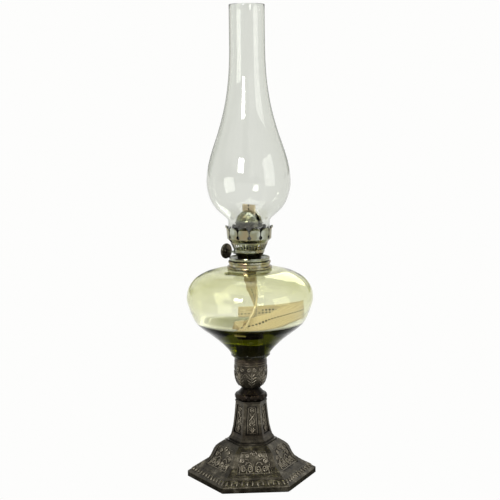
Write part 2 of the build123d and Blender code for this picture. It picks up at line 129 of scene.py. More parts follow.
def make_studio():
    """Pale floor and white surroundings; what the metal mirrors is a dimmer grey room. The floor glows
    instead of taking light: evenly pale to the camera, and with a painted shadow close round the lamp
    in glass and reflections.
    """
    scene = bpy.context.scene
    scene.view_settings.view_transform = "Standard"
    scene.cycles.transmission_bounces = 16
    scene.cycles.max_bounces = 20
    scene.cycles.transparent_max_bounces = 16
    scene.cycles.caustics_refractive = True
    world = bpy.data.worlds.new("studio")
    scene.world = world
    world.use_nodes = True
    tree = world.node_tree
    tree.nodes.clear()
    ray = add_node(tree, "ShaderNodeLightPath")
    backdrop = add_node(tree, "ShaderNodeBackground", {"Color": linear("#FDFDFC")})
    way = add_node(tree, "ShaderNodeTexCoord").outputs["Generated"]
    walls = add_node(tree, "ShaderNodeTexNoise", {"Scale": 1.5, "Detail": 1.0}, {"Vector": way})
    split = add_node(tree, "ShaderNodeSeparateXYZ", None, {"Vector": way})
    beside = add_node(tree, "ShaderNodeMath", {"operation": "ABSOLUTE"}, {0: split.outputs["X"]})
    sides = add_node(
        tree, "ShaderNodeMath", {"operation": "MULTIPLY_ADD", 1: 0.14},
        {0: beside.outputs[0], 2: walls.outputs["Fac"]},
    )
    ceiling = add_node(
        tree, "ShaderNodeMath", {"operation": "MULTIPLY_ADD", 1: 0.12},
        {0: split.outputs["Z"], 2: sides.outputs[0]},
    )
    scale = add_node(tree, "ShaderNodeValToRGB", None, {"Fac": ceiling.outputs[0]})
    patches = tones(scale, (0.46, "#1E201F"), (0.56, "#7C7F7C"), (0.64, "#F6F6F4"))
    room = add_node(
        tree, "ShaderNodeBackground", None, {"Color": patches}
    )
    mirrored = add_node(
        tree, "ShaderNodeMath", {"operation": "SUBTRACT", "use_clamp": True},
        {0: ray.outputs["Is Glossy Ray"], 1: ray.outputs["Is Transmission Ray"]},
    )
    mix = add_node(tree, "ShaderNodeMixShader", None, {0: mirrored.outputs[0]})
    tree.links.new(backdrop.outputs[0], mix.inputs[1])
    tree.links.new(room.outputs[0], mix.inputs[2])
    add_node(tree, "ShaderNodeOutputWorld", None, {"Surface": mix.outputs[0]})

    shape = bmesh.new()
    bmesh.ops.create_circle(shape, cap_ends=True, segments=96, radius=14)
    floor = keep_mesh(shape, "floor")
    finish = bpy.data.materials.new("painted studio floor")
    finish.use_nodes = True
    tree = finish.node_tree
    tree.nodes.clear()
    # Painted shadow: seen in glass and reflections, the glowing floor is dark within 0.1 m of the lamp
    # and fades to white by 0.3 m.
    place = add_node(tree, "ShaderNodeTexCoord").outputs["Object"]
    reach = add_node(tree, "ShaderNodeVectorMath", {"operation": "LENGTH"}, {0: place})
    near = add_node(
        tree, "ShaderNodeMapRange", {"From Min": 0.10, "From Max": 0.30},
        {"Value": reach.outputs["Value"]},
    )
    scale = add_node(tree, "ShaderNodeValToRGB", None, {"Fac": near.outputs[0]})
    tone = tones(scale, (0.0, "#3A3B36"), (1.0, "#FBFBFA"))
    ray = add_node(tree, "ShaderNodeLightPath")
    pale = add_node(tree, "ShaderNodeEmission", {"Color": linear("#FDFDFC")})
    glow_with_painted_shadow = add_node(tree, "ShaderNodeEmission", None, {"Color": tone})
    mix = add_node(tree, "ShaderNodeMixShader", None, {0: ray.outputs["Is Camera Ray"]})
    tree.links.new(glow_with_painted_shadow.outputs[0], mix.inputs[1])
    tree.links.new(pale.outputs[0], mix.inputs[2])
    add_node(tree, "ShaderNodeOutputMaterial", None, {"Surface": mix.outputs[0]})
    floor.data.materials.append(finish)

    make_light("key_box", (-0.55, -1.15, 0.80), 0.36, 11, True)
    make_light("fill_box", (1.1, -0.7, 0.5), 0.8, 10, False)
    make_light("rim_box", (0.5, 1.1, 0.9), 0.7, 8, False)
    make_light("top_box", (-0.1, -0.1, 1.5), 1.2, 12, False)


# ---------------------------------------------------------------- mesh helpers


def keep_mesh(shape, name):
    """Turn a bmesh into a linked object at the origin."""
    mesh = bpy.data.meshes.new(name)
    shape.to_mesh(mesh)
    shape.free()
    piece = bpy.data.objects.new(name, mesh)
    bpy.context.collection.objects.link(piece)
    return piece


def shade(piece, sharp=35):
    """Smooth shading, with edges steeper than sharp degrees kept crisp."""
    shape = bmesh.new()
    shape.from_mesh(piece.data)
    for face in shape.faces:
        face.smooth = True
    for edge in shape.edges:
        edge.smooth = len(edge.link_faces) == 2 and edge.calc_face_angle(0) < math.radians(sharp)
    shape.to_mesh(piece.data)
    shape.free()
    return piece


def settle(piece, body, slot, finish, *replaced):
    """Give a piece its material and the body it rides on; slot is not used."""
    piece.data.materials.clear()
    piece.data.materials.append(finish)
    if body:
        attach(piece, body)
    if replaced:
        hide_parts(*replaced)


def rounded(points, spans):
    """A smooth line through points, as (radius, height) pairs, with spans between each two."""
    ends = [Vector(points[0]) * 2 - Vector(points[1]), Vector(points[-1]) * 2 - Vector(points[-2])]
    path = [ends[0], *map(Vector, points), ends[1]]
    line = []
    for i in range(1, len(path) - 2):
        before, start, stop, after = path[i - 1 : i + 3]
        for step in range(spans):
            t = step / spans
            line.append(
                0.5 * (2 * start + (stop - before) * t
                       + (2 * before - 5 * start + 4 * stop - after) * t * t
                       + (3 * start - before - 3 * stop + after) * t ** 3)
            )
    line.append(Vector(points[-1]))
    return line


def lathe(name, outline, steps, ring):
    """Solid of revolution from (radius, height) in mm. A ring's outline closes on itself;
    any other starts and ends on the axis."""
    shape = bmesh.new()
    corners = [shape.verts.new((p[0] * MM, 0, p[1] * MM)) for p in outline]
    following = corners[1:] + (corners[:1] if ring else [])
    edges = [shape.edges.new(pair) for pair in zip(corners, following)]
    bmesh.ops.spin(
        shape, geom=corners + edges, axis=(0, 0, 1), cent=(0, 0, 0),
        angle=2 * math.pi, steps=steps, use_merge=True,
    )
    bmesh.ops.remove_doubles(shape, verts=shape.verts, dist=1e-6)
    bmesh.ops.recalc_face_normals(shape, faces=shape.faces)
    return keep_mesh(shape, name)


def ridges(name, lines):
    """Half-sunk rods along lines; each line is a list of (place in metres, radius in mm)."""
    curve = bpy.data.curves.new(name, "CURVE")
    curve.dimensions = "3D"
    curve.bevel_depth = MM
    curve.bevel_resolution = 2
    curve.use_fill_caps = True
    for line in lines:
        spline = curve.splines.new("POLY")
        spline.points.add(len(line) - 1)
        for point, (place, radius) in zip(spline.points, line):
            point.co = (*place, 1)
            point.radius = radius
    rods = bpy.data.objects.new(name + "_rods", curve)
    mesh = bpy.data.meshes.new_from_object(rods)
    mesh.name = name
    bpy.data.objects.remove(rods)
    bpy.data.curves.remove(curve)
    mesh.materials.clear()
    piece = bpy.data.objects.new(name, mesh)
    bpy.context.collection.objects.link(piece)
    return piece


def mark_wear_and_highlight(piece):
    """Store how far each point of a relief faces outwards and upwards: a painted highlight there, for
    light on those faces as well as rubbing.
    """
    worn = piece.data.attributes.new("worn", "FLOAT", "POINT")
    for vert, mark in zip(piece.data.vertices, worn.data):
        out = Vector((vert.co.x, vert.co.y, 0)).normalized() + Vector((0, 0, 0.6))
        mark.value = max(vert.normal.dot(out.normalized()), 0) ** 2
    return piece


def on_side(node, side, across, height, lift=0.0):
    """Point on a flat side of the casting, mm across from its middle, at a height."""
    turn = Matrix.Rotation(side * 2 * math.pi / SIDES, 3, "Z")
    start = turn @ Vector((across * MM, -CLEAR_OF_WALLS, height * MM))
    hit, place, _, _ = node.ray_cast(start, turn @ Vector((0, 1, 0)))
    if not hit:
        raise ValueError(f"no casting at {across}, {height}")
    return place - turn @ Vector((0, 1, 0)) * lift * MM


def on_round(node, angle, height):
    """Point on a round piece at an angle in degrees and a height in mm."""
    way = Vector((math.cos(math.radians(angle)), math.sin(math.radians(angle)), 0))
    start = way * CLEAR_OF_WALLS + Vector((0, 0, height * MM))
    hit, place, _, _ = node.ray_cast(start, -way)
    if not hit:
        raise ValueError(f"no wall at {angle}, {height}")
    return place


def volute(across, height, radius, hand, turns=1.6, start=90, steps=26):
    """Spiral scroll as flat (across, height) points, from its eye outwards."""
    points = []
    for step in range(steps + 1):
        t = step / steps
        angle = math.radians(start) + hand * (1 - t) * turns * 2 * math.pi
        reach = radius * (0.12 + 0.88 * t ** 0.8)
        points.append((across + reach * math.cos(angle), height + reach * math.sin(angle)))
    return points


def arc(across, height, radius, first, last, steps=12):
    """Round stretch as flat points; angles in degrees."""
    angles = [math.radians(first + (last - first) * i / steps) for i in range(steps + 1)]
    return [(across + radius * math.cos(a), height + radius * math.sin(a)) for a in angles]


def sweep(points, spans=5):
    """Smooth flat line through a few points."""
    return [tuple(p) for p in rounded(points, spans)]


# ---------------------------------------------------------------- materials


def start_material(name, **settings):
    """New material with its shader's fixed values set; returns it, its tree and shader."""
    finish = bpy.data.materials.new(name)
    finish.use_nodes = True
    tree = finish.node_tree
    shader = tree.nodes["Principled BSDF"]
    for socket, value in settings.items():
        shader.inputs[socket.replace("_", " ")].default_value = value
    return finish, tree, shader


def tones(scale, *stops):
    """Set a colour ramp's (position, hex colour) stops and return its colour socket."""
    stretch = scale.color_ramp.elements
    while len(stretch) < len(stops):
        stretch.new(0.5)
    for stop, (place, colour) in zip(stretch, stops):
        stop.position = place
        stop.color = linear(colour)
    return scale.outputs["Color"]


def wear_and_highlight_tint(tree, colour, bright):
    """Colour socket that turns to bright metal where a relief piece faces outwards and upwards: a
    painted highlight that also stands for rubbing.
    """
    worn = add_node(tree, "ShaderNodeAttribute", {"attribute_name": "worn"})
    mix = add_node(
        tree, "ShaderNodeMix", {"data_type": "RGBA"}, {0: worn.outputs["Fac"], 6: colour}
    )
    mix.inputs[7].default_value = linear(bright)
    return mix.outputs[2]


def cast_pewter():
    """Sand-cast white metal with a dark bronze patina: grainy, with painted shade darkening the
    recesses, a painted highlight on the relief's outward and upward faces that also stands for rubbing
    to a dull grey, and darker bands by height."""
    finish, tree, shader = start_material("cast metal with bronze patina", Metallic=0.85)
    place = add_node(tree, "ShaderNodeTexCoord").outputs["Object"]
    cloud = add_node(
        tree, "ShaderNodeTexNoise", {"Scale": PER_METRE / 9, "Detail": 5.0, "Roughness": 0.65},
        {"Vector": place},
    )
    grain = add_node(
        tree, "ShaderNodeTexNoise", {"Scale": PER_METRE / 0.9, "Detail": 3.0}, {"Vector": place}
    )
    # Painted shade: ambient occlusion over 3 mm darkens the colour in the recesses of the casting.
    hollow = add_node(
        tree, "ShaderNodeAmbientOcclusion", {"Distance": 3.0 * MM, "samples": 8}
    )
    scale = add_node(tree, "ShaderNodeValToRGB", None, {"Fac": cloud.outputs["Fac"]})
    tone = tones(scale, (0.30, "#2A2622"), (0.55, "#5C574B"), (0.75, "#A19A8C"))
    scale = add_node(tree, "ShaderNodeValToRGB", None, {"Fac": grain.outputs["Fac"]})
    speck = tones(scale, (0.35, "#4A4740"), (0.65, "#B4B0A4"))
    mixed = add_node(tree, "ShaderNodeMix", {"data_type": "RGBA", "blend_type": "OVERLAY"})
    mixed.inputs[0].default_value = 0.45
    tree.links.new(tone, mixed.inputs[6])
    tree.links.new(speck, mixed.inputs[7])
    scale = add_node(tree, "ShaderNodeValToRGB", None, {"Fac": hollow.outputs["AO"]})
    shadow = tones(scale, (0.42, "#0C0706"), (0.88, "#FFFFFF"))
    # Painted highlight, also standing for rubbing: relief faces turned outwards and upwards go bright.
    bright = wear_and_highlight_tint(tree, mixed.outputs[2], "#8F8777")
    dark = add_node(tree, "ShaderNodeMix", {"data_type": "RGBA", "blend_type": "MULTIPLY"})
    dark.inputs[0].default_value = 0.9
    tree.links.new(bright, dark.inputs[6])
    tree.links.new(shadow, dark.inputs[7])
    # Darker in bands by height: at the pillar foot, over the knop and just under the cup.
    split = add_node(tree, "ShaderNodeSeparateXYZ", None, {"Vector": place})
    rise = add_node(
        tree, "ShaderNodeMath", {"operation": "DIVIDE", 1: CASTING_TOP * MM}, {0: split.outputs["Z"]}
    )
    scale = add_node(tree, "ShaderNodeValToRGB", None, {"Fac": rise.outputs[0]})
    darker_bands = tones(
        scale, (0.30, "#FFFFFF"), (0.37, "#9A9088"), (0.45, "#FFFFFF"), (0.62, "#FFFFFF"),
        (0.66, "#6E625C"), (0.73, "#6E625C"), (0.77, "#FFFFFF"), (0.90, "#FFFFFF"),
        (0.97, "#A49A92"),
    )
    banded = add_node(tree, "ShaderNodeMix", {"data_type": "RGBA", "blend_type": "MULTIPLY"})
    banded.inputs[0].default_value = 1.0
    tree.links.new(dark.outputs[2], banded.inputs[6])
    tree.links.new(darker_bands, banded.inputs[7])
    tree.links.new(banded.outputs[2], shader.inputs["Base Color"])
    rough = add_node(
        tree, "ShaderNodeMapRange", {"To Min": 0.22, "To Max": 0.44},
        {"Value": cloud.outputs["Fac"]},
    )
    tree.links.new(rough.outputs[0], shader.inputs["Roughness"])
    bump = add_node(
        tree, "ShaderNodeBump", {"Strength": 0.35, "Distance": 0.25 * MM},
        {"Height": grain.outputs["Fac"]},
    )
    tree.links.new(bump.outputs[0], shader.inputs["Normal"])
    return finish


def plated_brass(name, pale, mid, warm, rough):
    """Thin nickel on polished brass, worn so that the brass tints it; softly mottled, with painted
    shade darkening its hollows and a painted highlight on outward and upward faces of embossed pieces.
    """
    finish, tree, shader = start_material(name, Metallic=1.0)
    place = add_node(tree, "ShaderNodeTexCoord").outputs["Object"]
    cloud = add_node(
        tree, "ShaderNodeTexNoise", {"Scale": PER_METRE / 14, "Detail": 3.0}, {"Vector": place}
    )
    scuff = add_node(
        tree, "ShaderNodeTexNoise", {"Scale": PER_METRE / 1.5, "Detail": 4.0}, {"Vector": place}
    )
    scale = add_node(tree, "ShaderNodeValToRGB", None, {"Fac": cloud.outputs["Fac"]})
    tone = tones(scale, (0.35, pale), (0.5, mid), (0.68, warm))
    # Painted shade: ambient occlusion over 9 mm darkens the colour in hollows and under overhanging
    # parts.
    hollow = add_node(tree, "ShaderNodeAmbientOcclusion", {"Distance": 9 * MM, "samples": 8})
    scale = add_node(tree, "ShaderNodeValToRGB", None, {"Fac": hollow.outputs["AO"]})
    shadow = tones(scale, (0.34, "#160D0C"), (0.80, "#FFFFFF"))
    dark = add_node(tree, "ShaderNodeMix", {"data_type": "RGBA", "blend_type": "MULTIPLY"})
    dark.inputs[0].default_value = 0.9
    # Painted highlight, also standing for rubbing, on the outward and upward faces of embossed pieces.
    tree.links.new(wear_and_highlight_tint(tree, tone, "#D6D3C6"), dark.inputs[6])
    tree.links.new(shadow, dark.inputs[7])
    tree.links.new(dark.outputs[2], shader.inputs["Base Color"])
    spread = add_node(
        tree, "ShaderNodeMapRange", {"To Min": rough, "To Max": rough + 0.16},
        {"Value": scuff.outputs["Fac"]},
    )
    tree.links.new(spread.outputs[0], shader.inputs["Roughness"])
    bump = add_node(
        tree, "ShaderNodeBump", {"Strength": 0.10, "Distance": 0.1 * MM},
        {"Height": scuff.outputs["Fac"]},
    )
    tree.links.new(bump.outputs[0], shader.inputs["Normal"])
    return finish


def blown_glass(name, tint, depth, wave, wave_height):
    """Hand-blown glass, darker where it is thicker: tint is the colour that is left when
    light has crossed about depth mm of it. Slow waves in its surface."""
    finish, tree, shader = start_material(
        name, Base_Color=linear("#FFFFFF"), Roughness=0.0, IOR=1.5, Transmission_Weight=1.0
    )
    inside = add_node(
        tree, "ShaderNodeVolumeAbsorption", {"Color": linear(tint), "Density": PER_METRE / depth}
    )
    tree.links.new(inside.outputs[0], tree.nodes["Material Output"].inputs["Volume"])
    place = add_node(tree, "ShaderNodeTexCoord").outputs["Object"]
    wavy = add_node(
        tree, "ShaderNodeTexNoise", {"Scale": PER_METRE / wave, "Detail": 1.0}, {"Vector": place}
    )
    bump = add_node(
        tree, "ShaderNodeBump", {"Strength": 0.25, "Distance": wave_height * MM},
        {"Height": wavy.outputs["Fac"]},
    )
    tree.links.new(bump.outputs[0], shader.inputs["Normal"])
    return finish


def plain(name, dark, light, grain, rough, metallic=0.0, bump_height=0.1):
    """Hidden or simple part: two tones in a fine grain, with the grain raised."""
    finish, tree, shader = start_material(name, Metallic=metallic, Roughness=rough)
    place = add_node(tree, "ShaderNodeTexCoord").outputs["Object"]
    noise = add_node(
        tree, "ShaderNodeTexNoise", {"Scale": PER_METRE / grain, "Detail": 4.0}, {"Vector": place}
    )
    scale = add_node(tree, "ShaderNodeValToRGB", None, {"Fac": noise.outputs["Fac"]})
    tone = tones(scale, (0.35, dark), (0.65, light))
    tree.links.new(tone, shader.inputs["Base Color"])
    bump = add_node(
        tree, "ShaderNodeBump", {"Strength": 0.5, "Distance": bump_height * MM},
        {"Height": noise.outputs["Fac"]},
    )
    tree.links.new(bump.outputs[0], shader.inputs["Normal"])
    return finish


def woven_wick():
    """Flat woven cotton: plain weave in unbleached yarn, drawn at 1 mm where the real
    yarn is 0.5 mm, with a black stitched line down the middle. UV is in millimetres."""
    finish, tree, shader = start_material(
        "unbleached cotton wick", Roughness=0.9, Sheen_Weight=0.35
    )
    place = add_node(tree, "ShaderNodeUVMap", {"uv_map": "weave"}).outputs[0]
    split = add_node(tree, "ShaderNodeSeparateXYZ", None, {"Vector": place})
    # At this scale a wave pattern repeats about once in each millimetre.
    one_in_each = 0.31
    warp_pitch, weft_pitch = 1.2, 1.0
    across = add_node(
        tree, "ShaderNodeTexWave",
        {"Scale": one_in_each / warp_pitch, "wave_type": "BANDS", "bands_direction": "X"},
        {"Vector": place},
    )
    along = add_node(
        tree, "ShaderNodeTexWave",
        {"Scale": one_in_each / weft_pitch, "wave_type": "BANDS", "bands_direction": "Y"},
        {"Vector": place},
    )
    weave = add_node(
        tree, "ShaderNodeMath", {"operation": "MULTIPLY"},
        {0: across.outputs["Fac"], 1: along.outputs["Fac"]},
    )
    fibre = add_node(
        tree, "ShaderNodeTexNoise", {"Scale": 1.4, "Detail": 5.0}, {"Vector": place}
    )
    mottled = add_node(
        tree, "ShaderNodeMath", {"operation": "MULTIPLY_ADD", 1: 0.45},
        {0: weave.outputs[0], 2: fibre.outputs["Fac"]},
    )
    scale = add_node(tree, "ShaderNodeValToRGB", None, {"Fac": mottled.outputs[0]})
    tone = tones(scale, (0.30, "#B39A72"), (0.60, "#DCC79E"), (0.90, "#F3E8CC"))
    near = add_node(
        tree, "ShaderNodeMath", {"operation": "ABSOLUTE"}, {0: split.outputs["X"]}
    )
    line = add_node(
        tree, "ShaderNodeMath", {"operation": "LESS_THAN", 1: 0.75}, {0: near.outputs[0]}
    )
    beat = add_node(
        tree, "ShaderNodeMath", {"operation": "MODULO", 1: 3.6}, {0: split.outputs["Y"]}
    )
    dash = add_node(
        tree, "ShaderNodeMath", {"operation": "LESS_THAN", 1: 2.0}, {0: beat.outputs[0]}
    )
    stitch = add_node(
        tree, "ShaderNodeMath", {"operation": "MULTIPLY"},
        {0: line.outputs[0], 1: dash.outputs[0]},
    )
    sewn = add_node(tree, "ShaderNodeMix", {"data_type": "RGBA"})
    tree.links.new(stitch.outputs[0], sewn.inputs[0])
    tree.links.new(tone, sewn.inputs[6])
    sewn.inputs[7].default_value = linear("#1B1714")
    tree.links.new(sewn.outputs[2], shader.inputs["Base Color"])
    bump = add_node(
        tree, "ShaderNodeBump", {"Strength": 0.6, "Distance": 0.3 * MM},
        {"Height": mottled.outputs[0]},
    )
    tree.links.new(bump.outputs[0], shader.inputs["Normal"])
    return finish


CAST = cast_pewter()
NICKEL = plated_brass("nickel on brass, worn", "#B4B8AA", "#8B8C74", "#94886A", 0.08)
COLLAR = plated_brass("nickel on brass collar, worn", "#BFC0B4", "#9B9468", "#AC8F80", 0.10)
KNOB = plated_brass("oxidised brass knob", "#6A665A", "#4A453A", "#7A7060", 0.22)
OLIVE = blown_glass("olive yellow blown glass", "#D1D35D", 8, 30, 0.15)
CLEAR = blown_glass("clear blown glass", "#D2D5C9", 3, 45, 0.10)
COTTON = woven_wick()
# Pressed wool felt is matt and fibrous, turned steel has a dull even shine, and old plaster
# is matt and gritty.
FELT = plain("wool felt", "#1D2A1C", "#31452E", 0.6, 0.95, bump_height=0.3)
STEEL = plain("turned steel", "#6C6A66", "#8D8B87", 0.8, 0.35, metallic=1.0, bump_height=0.03)
# The plaster is coloured near black.
PLASTER = plain("set plaster, near black", "#191712", "#2B2820", 1.2, 0.9)

FINISHES = {
    "cast_metal": CAST, "felt": FELT, "steel": STEEL, "plaster": PLASTER,
    "font_glass": OLIVE, "collar_metal": COLLAR, "burner_metal": NICKEL,
    "knob_metal": KNOB, "wick_cotton": COTTON, "chimney_glass": CLEAR,
}


def dress_nodes():
    """Give each carried-over node the finish of its slot."""
    for part in frame["record"]["subparts"]:
        finish = FINISHES[part["material_slot"]]
        node = frame["nodes"][part["node"]]
        node.data.materials.clear()
        node.data.materials.append(finish)


# ---------------------------------------------------------------- glass


def make_chimney():
    """Fitter tube, bulb and long neck in thin glass, with a fire-polished top rim."""
    low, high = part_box("chimney")
    foot, top = low.z / MM, high.z / MM
    skin = 1.3
    outside = rounded(
        [(20.9, foot), (20.9, 254.0), (20.9, 262.0), (22.4, 265.6), (28.0, 270.6), (34.0, 276.8),
         (38.5, 285.0), (41.2, 294.5), (41.8, 303.0), (40.8, 314.0), (38.0, 326.0),
         (34.0, 338.5), (29.7, 351.0), (25.4, 366.0), (22.0, 381.0), (19.6, 397.0),
         (18.3, 411.0), (17.6, 428.0), (17.5, 450.0), (17.5, top - 1.2)], 4,
    )
    inside = []
    for i, p in enumerate(outside):
        ahead = outside[min(i + 1, len(outside) - 1)] - outside[max(i - 1, 0)]
        square = Vector((-ahead.y, ahead.x)).normalized()
        inside.append(p + square * skin)
    rim = [Vector((17.45, top - 0.4)), Vector((16.95, top)), Vector((16.5, top - 0.1))]
    outline = outside + rim + inside[::-1]
    piece = shade(lathe("chimney_glass", outline, 144, ring=True))
    settle(piece, "chimney", "chimney_glass", CLEAR, "chimney")


def make_font():
    """Blown font: thick solid base and flange, cone, full belly, shoulder and neck."""
    low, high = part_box("font")
    peg, top = low.z / MM, high.z / MM
    base = [(14.25, peg), (14.25, 123.75), (17.0, 123.75), (17.9, 124.8), (18.9, 125.7),
            (19.7, 126.5), (19.9, 127.3), (19.6, 128.2)]
    cone = rounded([(19.6, 128.2), (23.2, 133.0), (28.3, 138.3), (33.2, 142.9), (38.4, 147.1),
                    (43.9, 151.4), (49.3, 155.5), (54.2, 160.0)], 5)
    belly = rounded([(54.9, 161.0), (57.2, 165.0), (60.0, 171.8), (62.1, 177.6), (63.6, 183.7),
                     (63.3, 189.6), (61.9, 195.0), (58.8, 200.3), (53.8, 205.4), (45.3, 210.2),
                     (38.0, 212.5), (31.0, 213.9), (25.0, 214.3), (18.95, 214.5)], 5)
    neck = [(18.95, 217.0), (18.95, top), (17.25, top), (17.25, 217.0), (17.3, 212.2)]
    inner_belly = rounded([(18.6, 211.3), (24.0, 211.1), (31.0, 210.6), (38.0, 209.2),
                           (45.0, 206.6), (51.8, 202.4), (56.4, 197.8), (59.2, 192.8),
                           (60.5, 187.2), (60.4, 182.0), (59.1, 176.4), (56.9, 170.8),
                           (55.4, 166.4), (54.4, 163.2), (52.8, 160.9), (49.6, 159.2),
                           (43.0, 158.1), (32.0, 157.2), (18.0, 156.7), (8.0, 156.5)], 4)
    socket = [(0.0, 146.95), (9.1, 146.95), (9.45, 146.6), (9.45, peg)]
    outline = [*socket, *base, *cone[1:], *belly, *neck, *inner_belly, (0.0, 156.5)]
    piece = shade(lathe("font_glass", outline, 160, ring=False))
    settle(piece, "stand", "font_glass", OLIVE, "font")


# ---------------------------------------------------------------- relief on the casting


def make_foot_relief():
    """Chased scrolls, beads and a frame in each foot panel."""
    casting = frame["nodes"]["pedestal"]
    end_taper, fullness = 0.7, 1.35
    motif = []
    for hand in (-1, 1):
        motif += [
            (volute(hand * 4.1, 18.2, 3.0, hand, start=120), 0.75),
            (volute(hand * 10.6, 18.6, 2.7, -hand, start=60), 0.7),
            (volute(hand * 11.4, 25.2, 2.3, hand, start=250), 0.62),
            (volute(hand * 6.6, 29.8, 1.8, -hand, start=200), 0.55),
            (sweep([(hand * 2.0, 21.6), (hand * 4.6, 23.6), (hand * 7.2, 23.0),
                    (hand * 8.8, 21.2)]), 0.6),
            (sweep([(hand * 9.2, 26.8), (hand * 7.4, 26.6), (hand * 5.0, 25.6)]), 0.55),
            (sweep([(hand * 15.0, 15.4), (hand * 14.2, 18.0), (hand * 14.0, 21.0)]), 0.6),
            (sweep([(hand * 7.4, 15.2), (hand * 7.5, 17.0), (hand * 7.2, 18.4)]), 0.5),
        ]
    motif += [(arc(0, 30.8, 2.8, 0, 180), 0.6), (arc(0, 31.0, 1.1, 0, 360), 0.45)]
    frame_steps = 14
    border = [[(-17.6, 14.9), (17.6, 14.9)], [(-12.2, 32.9), (12.2, 32.9)],
              [(-17.6, 14.9), (-12.2, 32.9)], [(17.6, 14.9), (12.2, 32.9)]]
    for side in range(SIDES):
        lines = []
        for flat, radius in motif:
            last = len(flat) - 1
            lines.append([
                (on_side(casting, side, *p, 0.1), radius * (end_taper if i in (0, last) else fullness))
                for i, p in enumerate(flat)
            ])
        for (x0, z0), (x1, z1) in border:
            steps = [i / frame_steps for i in range(frame_steps + 1)]
            lines.append([
                (on_side(casting, side, x0 + (x1 - x0) * t, z0 + (z1 - z0) * t), 0.5)
                for t in steps
            ])
        piece = ridges(f"foot_scrolls_{side + 1}", lines)
        settle(mark_wear_and_highlight(shade(piece, 60)), "stand", "cast_metal", CAST)


def make_rim_tongues():
    """Row of raised tongues along the sloping rim band of every side."""
    tongues_per_side = 12
    inner, outer = 57.9, 63.6
    crest, fall, sunk = 10.3, 3.1, 0.25
    widest = 1.15
    rings = 6
    for side in range(SIDES):
        lines = []
        turn = Matrix.Rotation(side * 2 * math.pi / SIDES, 3, "Z")
        for place in range(tongues_per_side):
            share = (place + 0.5) / tongues_per_side - 0.5
            line = []
            for step in range(rings + 1):
                t = step / rings
                corner = inner + (outer - inner) * t
                height = crest - fall * t
                flat_y = -corner * math.cos(math.pi / SIDES)
                swell = widest * math.sqrt(max(1 - (2 * t - 1) ** 2, 0.04))
                where = turn @ Vector((share * corner, flat_y, height - sunk)) * MM
                line.append((where, swell))
            lines.append(line)
        piece = ridges(f"rim_tongues_{side + 1}", lines)
        settle(mark_wear_and_highlight(shade(piece, 60)), "stand", "cast_metal", CAST)


def make_pillar_relief():
    """Narrow framed panels up the pillar: rosette, crossed scrolls, lozenge, palmette."""
    casting = frame["nodes"]["pedestal"]
    foot_height, foot_half, taper = 46.5, 6.2, 0.062
    fullness = 1.3

    def half_width(height):
        return foot_half - (height - foot_height) * taper

    for side in range(SIDES):
        flat = []
        for hand in (-1, 1):
            edge = [(hand * (half_width(z) - 0.9), z) for z in range(48, 75, 2)]
            flat.append((edge, 0.5))
            flat.append((sweep([(hand * 2.6, 68.2), (hand * 1.2, 65.4), (-hand * 1.2, 62.6),
                                (-hand * 2.4, 60.0), (-hand * 1.4, 57.6)]), 0.58))
            flat.append((volute(hand * 1.9, 56.4, 1.1, -hand, 1.1, steps=14), 0.48))
            flat.append((sweep([(hand * 0.3, 48.6), (hand * 1.6, 50.8), (hand * 3.2, 51.8)]), 0.65))
            flat.append((sweep([(hand * 0.2, 49.4), (hand * 1.0, 52.4), (hand * 1.7, 53.8)]), 0.6))
            flat.append((sweep([(0, 60.8), (hand * 1.0, 59.2), (0, 57.4)]), 0.5))
        flat.append((arc(0, 71.2, 1.7, 0, 360, 16), 0.55))
        flat.append((arc(0, 71.2, 0.3, 0, 360, 8), 0.5))
        flat.append(([(-3.2, 47.7), (3.2, 47.7)], 0.45))
        flat.append(([(-3.0, 74.4), (3.0, 74.4)], 0.38))
        lines = [
            [(on_side(casting, side, *p, 0.05), radius * fullness) for p in points]
            for points, radius in flat
        ]
        piece = ridges(f"pillar_scrolls_{side + 1}", lines)
        settle(mark_wear_and_highlight(shade(piece, 60)), "stand", "cast_metal", CAST)


def volute_on_cup(angle, height, radius, hand):
    """Spiral on the cup's wall, as (degrees, mm) points."""
    flat = volute(0, 0, radius, hand, 1.3, steps=16)
    cup_radius = 16.0
    degrees_per_mm = 180 / math.pi / cup_radius
    return [(angle + x * degrees_per_mm, height + z) for x, z in flat]


def make_cup_relief():
    """Leaves and small flowers chased all round the cup, under a rope-like rim."""
    cup = frame["nodes"]["font_cup"]
    leaves, petals = 8, 6
    flower_side, flower_rise = 22.5, 107.6
    fullness = 1.5
    lines = []
    for leaf in range(leaves):
        middle = leaf * 360 / leaves
        flat = [([(0, 94.5), (0, 98.0), (0, 102.0), (0, 106.0), (0, 110.5)], 0.55)]
        for hand in (-1, 1):
            for rise, reach in ((97.0, 13), (100.0, 16), (103.2, 15), (106.4, 11)):
                flat.append((
                    [(0, rise), (hand * reach * 0.5, rise + 1.2), (hand * reach, rise + 3.0)], 0.42
                ))
            flat.append((volute_on_cup(hand * 11.0, 113.4, 2.1, hand), 0.42))
        for petal in range(petals):
            turn = math.radians(petal * 360 / petals)
            across, rise = math.cos(turn), math.sin(turn)
            flat.append((
                [(flower_side + 4.6 * across, flower_rise + 1.4 * rise),
                 (flower_side + 6.4 * across, flower_rise + 2.0 * rise)], 0.5
            ))
        for points, radius in flat:
            lines.append([(on_round(cup, middle + a, z), radius * fullness) for a, z in points])
    for ring in (117.6, 119.9):
        lines.append([
            (on_round(cup, a, ring + 0.25 * (a // 5 % 2)), 0.45) for a in range(0, 361, 5)
        ])
    piece = ridges("cup_leaves", lines)
    settle(mark_wear_and_highlight(shade(piece, 60)), "stand", "cast_metal", CAST)


